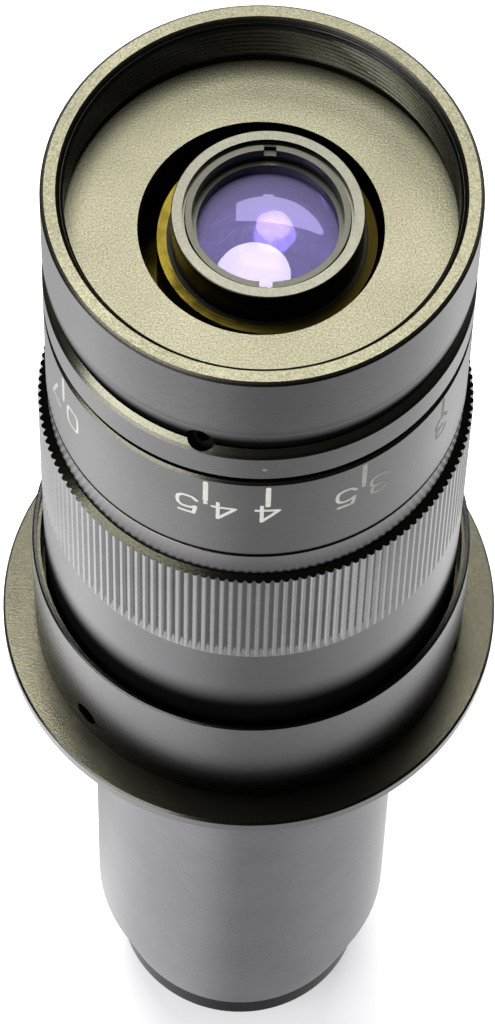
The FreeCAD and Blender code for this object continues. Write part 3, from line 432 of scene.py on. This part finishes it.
def turnedMetal(name, look):
    wiring = Finish(name)
    spot = wiring.spot()
    marks = wiring.turning(spot, look["turnScale"])
    stain = wiring.between(wiring.grain(spot, look["stainScale"], look["stainDetail"]), *look["stained"])
    colour = wiring.blend(stain, look["colour"], look["dull"])
    if look["paintedSideShade"]:
        # darker towards the right: painted shade
        start, end, dark = look["paintedSideShade"]
        colour = wiring.blend(wiring.between(wiring.parts(spot)[0], start, end), colour, dark)
    spread = look["roughSpread"]
    rough = wiring.maths("MULTIPLY_ADD", marks, 2 * spread, look["rough"] - spread)
    wiring.bump(wiring.maths("MULTIPLY", marks, look["turnDepth"]))
    return wiring.done(colour=colour, metal=1.0, rough=rough)


for metal, look in metalLook.items():
    finish[metal] = turnedMetal(metal + "Turned", {**turnedLook, **look})

# Glass: the front element carries a violet anti-reflection coating

polishLook = {
    "ior": 1.52, "level": 0.5,
    "haze": 0.02,               # the roughness that haze adds
    "hazeScale": 0.8, "hazeDetail": 5.0,
    "hazed": (0.5, 0.9),        # the noise where haze starts and where it is full
}
glassLook = {
    "coated": {"colour": (0.62, 0.54, 1.0, 1), "tint": (0.58, 0.52, 1.0, 1), "rough": 0.015,
               "clear": 0.88},  # the rest is a diffuse violet veil over the dark inside: a painted reflection of the room
    "plain": {"colour": (0.90, 0.93, 0.95, 1), "tint": (0.75, 0.65, 1.0, 1), "rough": 0.01,
              "clear": 1.0},
}


def polishedGlass(name, look):
    wiring = Finish(name)
    noise = wiring.grain(wiring.spot(), look["hazeScale"], look["hazeDetail"])
    rough = wiring.maths("MULTIPLY_ADD", wiring.between(noise, *look["hazed"]), look["haze"], look["rough"])
    fixed = {key: look[key] for key in ("colour", "tint", "level", "ior", "clear")}
    return wiring.done(rough=rough, **fixed)


for kind, look in glassLook.items():
    finish[kind] = polishedGlass(kind + "Glass", {**polishLook, **look})

# Paint in the marks, with wear, darkened away from the front as painted shade

paintLook = {
    # the last colour is that of the painted shade, and also the faded dot's own colour
    "colour": (0.58, 0.58, 0.52, 1), "worn": (0.30, 0.30, 0.27, 1), "rubbedAndShaded": (0.15, 0.15, 0.13, 1),
    "rough": 0.55,
    "wearScale": 3.0, "wearDetail": 3.0,
    "wearing": (0.55, 0.75),    # the noise where wear starts and where it is full
    "grainScale": 9.0,
    "grainDepth": 0.00001,      # metres
    "unshadedAt": -2.0,            # where along X it has no painted shade, in millimetres
    "paintedSideShading": (8.5, 18.0),     # how far off that the painted shade starts, and where it is full
    "leftShare": 0.65,          # less painted shade on the left
}


def markPaint(name, look):
    # The distance from the unshaded place counts in full on the right and by its share on the left,
    # and darkens the paint as painted shade. The noise gives the paint its wear.
    wiring = Finish(name)
    spot = wiring.spot()
    wear = wiring.between(wiring.grain(spot, look["wearScale"], look["wearDetail"]), *look["wearing"])
    away = wiring.maths("SUBTRACT", wiring.parts(spot)[0], look["unshadedAt"])
    away = wiring.maths("MAXIMUM", away, wiring.maths("MULTIPLY", away, -look["leftShare"]))
    colour = wiring.blend(wear, look["colour"], look["worn"])
    colour = wiring.blend(wiring.between(away, *look["paintedSideShading"]), colour, look["rubbedAndShaded"])
    wiring.bump(wiring.maths("MULTIPLY", wiring.grain(spot, look["grainScale"]), look["grainDepth"]))
    return wiring.done(colour=colour, rough=look["rough"])


finish["paint"] = markPaint("scalePaint", paintLook)
finish["faded"] = markPaint("fadedPaint", {**paintLook, "colour": paintLook["rubbedAndShaded"]})
print("metals, glass and paint made")

# Which finish each CAD piece wears

wears = {
    "cap": ["front_cap"],
    "barrel": ["index_barrel"],
    "scale": ["scale_ring"],
    "collar": ["mounting_collar"],
    "knurl": ["zoom_ring"],
    "tube": ["rear_tube"],
    "cell": ["front_lens_cell", "rear_lens_cell", "relay_lens_cell"],
    "cellRing": ["front_retaining_ring", "rear_retaining_ring", "relay_retaining_ring"],
    "ring": ["c_mount_ring"],
    "matt": ["light_baffle", "cap_grub_screw"],
    "brass": ["front_carrier", "rear_carrier", "guide_tube"],
    "bronze": ["cam_sleeve", "front_thrust_washer", "rear_thrust_washer"],
    "steel": ["collar_grub_screws", "zoom_drive_screws", "stop_pin",
              "front_follower_pin", "rear_follower_pin"],
    "coated": ["front_lens_crown"],
    "plain": ["front_lens_flint", "rear_lens", "relay_lens"],
}
for kind, names in wears.items():
    for name in names:
        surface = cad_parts[name].data
        surface.materials.clear()
        surface.materials.append(finish[kind])
print("CAD pieces dressed")

# Fine thread inside the front cap

capThread = {
    "low": capTop - 6.75, "high": capTop - 0.55, "reliefTop": capTop - 3.85,
    "wall": 20.62,              # a hair into the cap's wall, which carries it
    "reliefWall": 21.02,
    "root": 20.55, "crest": 20.24, "pitch": 0.75,
    "fade": 0.6,                # the run-out at each end, in pitches
    "around": 480, "rowsPerTurn": 10, "sharp": 25.0,
}


def capThreadMesh(look):
    # Inner wall: the radius goes from root to crest with the phase height/pitch - angle/turn, a helix.
    # It fades out at both ends. The outer side follows the cap's wall and the relief below it.
    around, low, high = look["around"], look["low"], look["high"]
    rows = int((high - low) / look["pitch"] * look["rowsPerTurn"]) + 1
    height = np.linspace(low, high, rows)[:, None]
    turn = (np.arange(around) / around)[None, :]
    fade = np.clip(np.minimum(height - low, high - height) / (look["fade"] * look["pitch"]), 0, 1)
    stand = ridge(height / look["pitch"] - turn) * fade
    inner = look["root"] - (look["root"] - look["crest"]) * stand
    back = np.array([(look["wall"], high), (look["wall"], look["reliefTop"]),
                     (look["reliefWall"], look["reliefTop"]), (look["reliefWall"], low)])
    radius = np.concatenate([inner, np.repeat(back[:, :1], around, axis=1)])
    grid = aroundAxis(radius, 2 * np.pi * turn, np.concatenate([height, back[:, 1:]]))
    return fillMesh("capThread", *loopedGrid(grid), look["sharp"])


addPiece("capThread", capThreadMesh(capThread), finish["cap"], "root")
print("cap thread cut")

# Ring with the camera's thread

cameraRing = {
    "outline": [(10.9, 0.0), (12.3, 0.0), (12.7, 0.4), (12.7, 3.2), (11.9, 3.2), (11.9, 4.0), (15.2, 4.0),
                (15.5, 4.3), (15.5, 8.5), (14.2, 8.5), (14.2, 14.0), (10.9, 14.0)],
    "major": 12.7, "threadTop": 3.2, "pitch": 0.794, "depth": 0.46,
    "shankRadius": 12.0,        # the outline beyond it and up to threadTop is the thread's wall
    "around": 360, "step": 0.08, "plainStep": 1.2, "sharp": 25.0,
    "hair": 1e-6,
}


def cameraRingMesh(look):
    # The outline turned about the axis. Where its outer side is the thread, the radius is cut back from
    # the major one by depth times one less the ridge at the phase height/pitch - angle/turn. The outline
    # keeps its close points only there, its corners, and every so many points between.
    fine = denseProfile(look["outline"], look["step"])
    threaded = (fine[:, 0] > look["shankRadius"]) & (fine[:, 1] <= look["threadTop"] + look["hair"])
    coarse = np.arange(len(fine)) % int(look["plainStep"] / look["step"]) == 0
    apart = np.abs(fine[:, None] - np.array(look["outline"])[None]).max(-1)
    kept = threaded | coarse | (apart < look["hair"]).any(1)
    radius, height = fine[kept, :1], fine[kept, 1:]
    turn = (np.arange(look["around"]) / look["around"])[None, :]
    groove = look["major"] - look["depth"] * (1 - ridge(height / look["pitch"] - turn))
    shaped = np.where(threaded[kept][:, None], np.minimum(radius, groove), radius)
    return fillMesh("cameraRing", *loopedGrid(aroundAxis(shaped, 2 * np.pi * turn, height)), look["sharp"])


ringPiece = addPiece("cameraRing", cameraRingMesh(cameraRing), finish["ring"], "root")
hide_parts("c_mount_ring")
print("camera ring threaded")

# Scale: ticks and plain numbers in paint, which stand on their heads as the lens stands here

scaleMarks = {
    "radius": radiusOf("scale_ring"), "top": scaleTop - 0.9,
    "tickLength": 3.75, "tickWidth": 0.56,
    "digitHeight": 3.35, "digitWidth": 2.1, "fourWidth": 2.4,
    "digitDrop": 3.85,          # from the ticks' top to the digits' feet
    "digitSpread": 1.97,        # from the tick's line to the middles of a pair of digits
    "stroke": 0.42,
    "dotWidth": 0.5, "dotLength": 0.12, "dotGap": 0.55,
    "crown": 0.018, "sink": 0.04,   # how far the paint stands out, and how far it reaches into the ring
    "layer": 0.003,             # each stroke of a mark lies this much higher than the one before
    "endPoints": 6, "spacing": 0.12, "sharp": 60.0,
    # azimuth from the front towards +X, in degrees
    "places": {"4.5": -12.4, "4": 4.2, "3.5": 30.7, "3": 59.7, "2.5": 90.7, "2": 125.7, "1.5": 169.7,
               "1": 231.7, "0.7": 297.5},
}

# Each digit's strokes on a cell one wide and one high: the points, and whether the line is rounded.
strokes = {
    "0": [([(0.5, 1.0), (0.05, 1.0), (0.0, 0.5), (0.05, 0.0), (0.5, 0.0), (0.95, 0.0), (1.0, 0.5),
            (0.95, 1.0), (0.5, 1.0)], True)],
    "1": [([(0.2, 0.72), (0.55, 1.0)], False), ([(0.55, 1.0), (0.55, 0.0)], False)],
    "2": [([(0.03, 0.74), (0.1, 1.0), (0.9, 1.08), (0.98, 0.66), (0.7, 0.42), (0.0, 0.0)], True),
          ([(0.0, 0.0), (1.0, 0.0)], False)],
    "3": [([(0.04, 0.8), (0.2, 1.02), (0.92, 1.04), (0.96, 0.62), (0.62, 0.54), (0.4, 0.54)], True),
          ([(0.4, 0.54), (0.75, 0.55), (1.06, 0.4), (0.9, -0.04), (0.15, -0.04), (0.0, 0.22)], True)],
    "4": [([(0.76, 1.0), (0.0, 0.28)], False), ([(0.0, 0.28), (1.0, 0.28)], False),
          ([(0.76, 1.0), (0.76, 0.0)], False)],
    "5": [([(0.92, 1.0), (0.16, 1.0)], False), ([(0.16, 1.0), (0.06, 0.56)], False),
          ([(0.06, 0.56), (0.3, 0.7), (1.0, 0.68), (1.04, 0.02), (0.3, -0.06), (0.0, 0.16)], True)],
    "7": [([(0.0, 1.0), (1.0, 1.0)], False), ([(1.0, 1.0), (0.35, 0.0)], False)],
}

# A bead of paint across its path: shares of the half width, and of the crown, where -1 is the sunk foot.
beadAcross = np.array([-1.0, -1.0, -0.7, 0.0, 0.7, 1.0, 1.0])
beadRise = np.array([-1.0, 0.0, 0.6, 1.0, 0.6, 0.0, -1.0])


def rounded(points, times=4):
    # Corner cutting: each round puts points a quarter and three quarters along every side.
    points = np.array(points, float)
    for _ in range(times):
        low, high = points[:-1], points[1:]
        inner = np.stack([0.75 * low + 0.25 * high, 0.25 * low + 0.75 * high], 1).reshape(-1, 2)
        points = np.concatenate([points[:1], inner, points[-1:]])
    return points


def strokeShell(points, width, look, order):
    # The bead carried along a flat path, whose half width shrinks as a half circle at both ends.
    points = np.array(points, float)
    steps = np.linalg.norm(np.diff(points, axis=0), axis=1)
    along = np.concatenate([[0], np.cumsum(steps)])
    half, ends = width / 2, look["endPoints"]
    start = half * np.sin(np.linspace(-np.pi / 2, 0, ends))
    middle = np.linspace(0, along[-1], max(2, int(along[-1] / look["spacing"])) + 1)[1:-1]
    at = np.concatenate([start, middle, along[-1] - start[::-1]])
    inside = np.clip(at, 0, along[-1])
    spine = np.stack([np.interp(inside, along, points[:, 0]), np.interp(inside, along, points[:, 1])], -1)
    heading = np.gradient(spine, axis=0)
    heading[:ends], heading[-ends:] = points[1] - points[0], points[-1] - points[-2]
    heading /= np.linalg.norm(heading, axis=1)[:, None]
    spine = spine + heading * (at - inside)[:, None]
    side = np.stack([-heading[:, 1], heading[:, 0]], -1)
    reach = np.sqrt(np.maximum(half ** 2 - (at - inside) ** 2, 0))
    lift = np.where(beadRise < 0, -look["sink"], beadRise * look["crown"] + order * look["layer"])
    return spine[:, None] + side[:, None] * (reach[:, None] * beadAcross)[..., None], lift


def bendRound(flat, lift, azimuth, look):
    # Flat x runs back round the ring and flat y down it, so the numbers stand on their heads.
    angle = math.radians(azimuth - 90) - flat[..., 0] / look["radius"]
    return aroundAxis(look["radius"] + lift, angle, look["top"] - flat[..., 1])


def shellFaces(grid, start):
    # Quads along a closed-section strip; the ends have no width, so they close by themselves.
    rows, across = grid.shape[:2]
    index = start + np.arange(rows * across).reshape(rows, across)
    beside = np.roll(index, -1, 1)
    return np.stack([index[:-1], beside[:-1], beside[1:], index[1:]], -1).reshape(-1, 4)


def markLines(label, look):
    # The flat paths of one mark and their widths: the tick, a pair's decimal point, the digits' strokes.
    lines = [([(0, 0.0), (0, look["tickLength"])], look["tickWidth"])]
    digits = label.replace(".", "")
    centres = [0.0]
    if len(digits) == 2:
        centres = [-look["digitSpread"], look["digitSpread"]]
        drop = look["tickLength"] + look["dotGap"]
        lines.append(([(0, drop), (0, drop + look["dotLength"])], look["dotWidth"]))
    for digit, centre in zip(digits, centres):
        width = look["fourWidth"] if digit == "4" else look["digitWidth"]
        for points, isRounded in strokes[digit]:
            path = rounded(points) if isRounded else np.array(points, float)
            path = path * [width, look["digitHeight"]] + [centre - width / 2, look["digitDrop"]]
            lines.append((path, look["stroke"]))
    return lines


def scaleMesh(look):
    points, faces, start = [], [], 0
    for label, azimuth in look["places"].items():
        for order, (path, width) in enumerate(markLines(label, look)):
            grid = bendRound(*strokeShell(path, width, look, order), azimuth, look)
            faces.append(shellFaces(grid, start))
            points.append(grid.reshape(-1, 3))
            start += len(points[-1])
    return fillMesh("scaleMarks", np.concatenate(points), np.concatenate(faces), look["sharp"])


addPiece("scaleMarks", scaleMesh(scaleMarks), finish["paint"], "zoom")

# Index dot on the fixed band

indexDot = {
    "radius": radiusOf("index_barrel"), "height": barrelTop - 2.9, "azimuth": 3.0, "size": 0.26,
    "crown": 0.015, "sink": 0.04, "around": 32, "sharp": 60.0,
}

# The dot from its sunk foot over the rim to the top: shares of its size, and of the crown, where -1 is
# the foot. Both middles are left a hair open.
dotAcross = np.array([0.001, 1.0, 1.0, 0.8, 0.4, 0.001])[:, None]
dotRise = np.array([-1.0, -1.0, 0.0, 0.5, 1.0, 1.0])[:, None]


def indexDotMesh(look):
    # Rings of points about the dot's middle, bent round the band.
    lift = np.where(dotRise < 0, -look["sink"], dotRise * look["crown"])
    turn = 2 * np.pi * np.arange(look["around"])[None, :] / look["around"]
    reach = dotAcross * look["size"]
    angle = math.radians(look["azimuth"] - 90) + reach * np.cos(turn) / look["radius"]
    grid = aroundAxis(look["radius"] + lift, angle, look["height"] + reach * np.sin(turn))
    return fillMesh("indexDot", *loopedGrid(grid), look["sharp"])


addPiece("indexDot", indexDotMesh(indexDot), finish["faded"], "root")
print("scale and index marked")

# Floor, backdrop and lamps, in metres

stageLook = {
    "floorSize": 6.0, "floorColour": 0.82,
    "glowColour": (0.955, 0.955, 1.0, 1),
    "nearGlow": 0.42, "farGlow": 1.10,          # lifts the shadow, and keeps the distance white
    "nearEnd": 0.35, "farStart": 0.90,
    "shine": 1.30,              # the floor in reflections, which changes toward these sides of the lens:
    "shineSides": (             # direction, shares of it where the change starts and ends, and the change
        ((-0.85, -0.53, 0.0), 0.5, 1.0, 1.25),
        ((1.0, 0.0, 0.0), 0.2, 0.9, 0.30),
        ((0.0, 1.0, 0.0), 0.35, 0.95, -0.60),
    ),
    "worldLight": 0.38, "worldShine": 0.05, "worldSeen": 1.0,   # the room as light, in reflections, seen
}


def floorShine(wiring, look):
    # How bright the floor looks in the lens's walls: the plain shine plus each side's change, by how far
    # the place lies to that side of the lens.
    side = wiring.vector("NORMALIZE", wiring.node("NewGeometry").outputs["Position"])
    total = look["shine"]
    for toward, start, end, change in look["shineSides"]:
        share = wiring.between(wiring.vector("DOT_PRODUCT", side, toward), start, end, 0.0, change)
        total = wiring.maths("ADD", share, total)
    return total


def paperFloor(look):
    # Plain paper that also glows where the camera sees it. Reflections see its shine instead.
    material = bpy.data.materials.new("paperFloor")
    material.use_nodes = True
    wiring = Wiring(material.node_tree)
    wiring.tree.nodes.remove(wiring.tree.nodes["Principled BSDF"])
    away = wiring.vector("LENGTH", wiring.node("NewGeometry").outputs["Position"])
    glow = wiring.between(away, look["nearEnd"], look["farStart"], look["nearGlow"], look["farGlow"])
    seen = wiring.maths("MULTIPLY", wiring.rays("Camera", "Transmission"), glow)
    paper = wiring.node("BsdfDiffuse", {"Color": (look["floorColour"],) * 3 + (1,)})
    lift = wiring.node("Emission", {"Color": look["glowColour"], "Strength": seen})
    both = wiring.node("AddShader", {0: paper.outputs[0], 1: lift.outputs[0]})
    shine = wiring.node("Emission", {"Strength": floorShine(wiring, look)})
    choice = wiring.node("MixShader", {"Fac": wiring.rays("Glossy"), 1: both.outputs[0], 2: shine.outputs[0]})
    wiring.feed(wiring.tree.nodes["Material Output"].inputs["Surface"], choice.outputs[0])
    return material


def makeFloor(look):
    mesh = bpy.data.meshes.new("floor")
    reach = look["floorSize"] / 2
    corners = [(-reach, -reach, 0), (reach, -reach, 0), (reach, reach, 0), (-reach, reach, 0)]
    mesh.from_pydata(corners, [], [(0, 1, 2, 3)])
    mesh.materials.append(paperFloor(look))
    floor = bpy.data.objects.new("floor", mesh)
    bpy.context.scene.collection.objects.link(floor)


def makeWorld(look):
    # White all round, with its own strength for each kind of ray.
    world = bpy.data.worlds.new("studio")
    world.use_nodes = True
    wiring = Wiring(world.node_tree)
    level = look["worldLight"]
    for kinds, strength in ((("Glossy", "Transmission"), "worldShine"), (("Camera",), "worldSeen")):
        inputs = {"Value": wiring.rays(*kinds), "To Min": level, "To Max": look[strength]}
        level = wiring.node("MapRange", inputs).outputs["Result"]
    back = wiring.tree.nodes["Background"]
    wiring.feed(back.inputs["Color"], (1, 1, 1, 1))
    wiring.feed(back.inputs["Strength"], level)
    bpy.context.scene.world = world


lampLook = {
    "overheadDisc": {"place": (-0.07, 0.15, 0.97), "shape": "DISK", "size": (0.42, 0.42), "power": 11.0},
    "backSoftbox": {"place": (0.09, 0.70, 0.88), "shape": "RECTANGLE", "size": (0.55, 0.37), "power": 5.0},
    "frontLeftSoftbox": {"place": (-0.65, -0.545, 0.47), "shape": "RECTANGLE", "size": (0.85, 0.28),
                         "power": 5.3},
}


def addLamp(name, look):
    data = bpy.data.lights.new(name, "AREA")
    data.shape, data.energy = look["shape"], look["power"]
    data.size, data.size_y = look["size"]
    lamp = bpy.data.objects.new(name, data)
    bpy.context.scene.collection.objects.link(lamp)
    lamp.location = look["place"]
    aim = Vector((0, 0, cameraSpot["aimHeight"] * millimetre)) - Vector(look["place"])
    lamp.rotation_euler = aim.to_track_quat("-Z", "Y").to_euler()


makeFloor(stageLook)
makeWorld(stageLook)
for name, look in lampLook.items():
    addLamp(name, look)
print("stage and lamps set")
